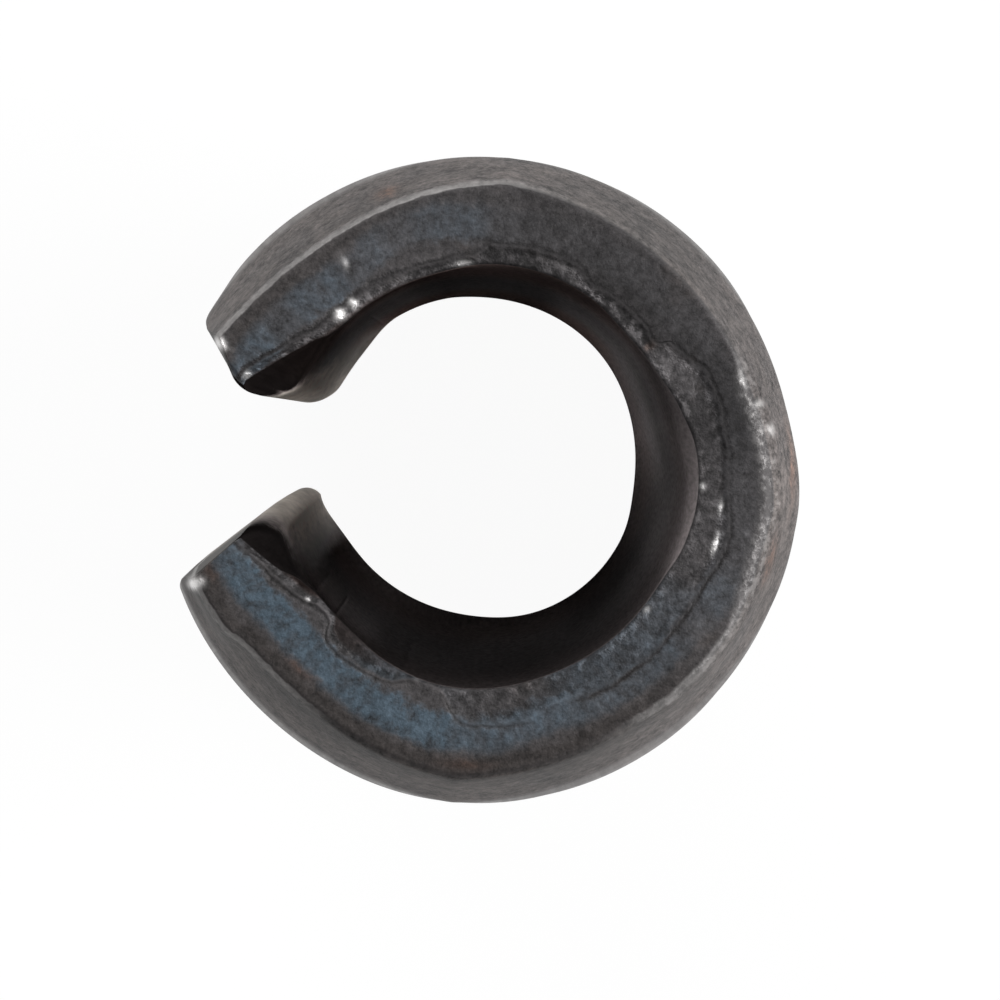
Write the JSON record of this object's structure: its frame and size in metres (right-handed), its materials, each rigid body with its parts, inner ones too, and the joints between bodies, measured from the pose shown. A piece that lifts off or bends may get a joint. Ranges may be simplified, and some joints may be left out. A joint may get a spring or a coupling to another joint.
{
  "type": "slotted spring pin",
  "caption": "Slotted spring pin: steel strip rolled into an open tube, with a full-length slot, swaged lead-in chamfers at the ends and a through bore.",
  "frame": {"origin": "on the pin's axis, in the plane of the lower end it stands on", "axes": "+Z along the axis of the bore, up towards the upper end; the slot faces -X, with the left lip on its +Y side and the right lip on its -Y side"},
  "size_m": [0.0082, 0.0086, 0.03],
  "materials": {
    "spring_steel": "dark hardened spring steel, satin on the outside, with blue and brown oxide on the sheared ends"
  },
  "bodies": {
    "root": {"spring_pin": "spring_steel"}
  },
  "joints": []
}
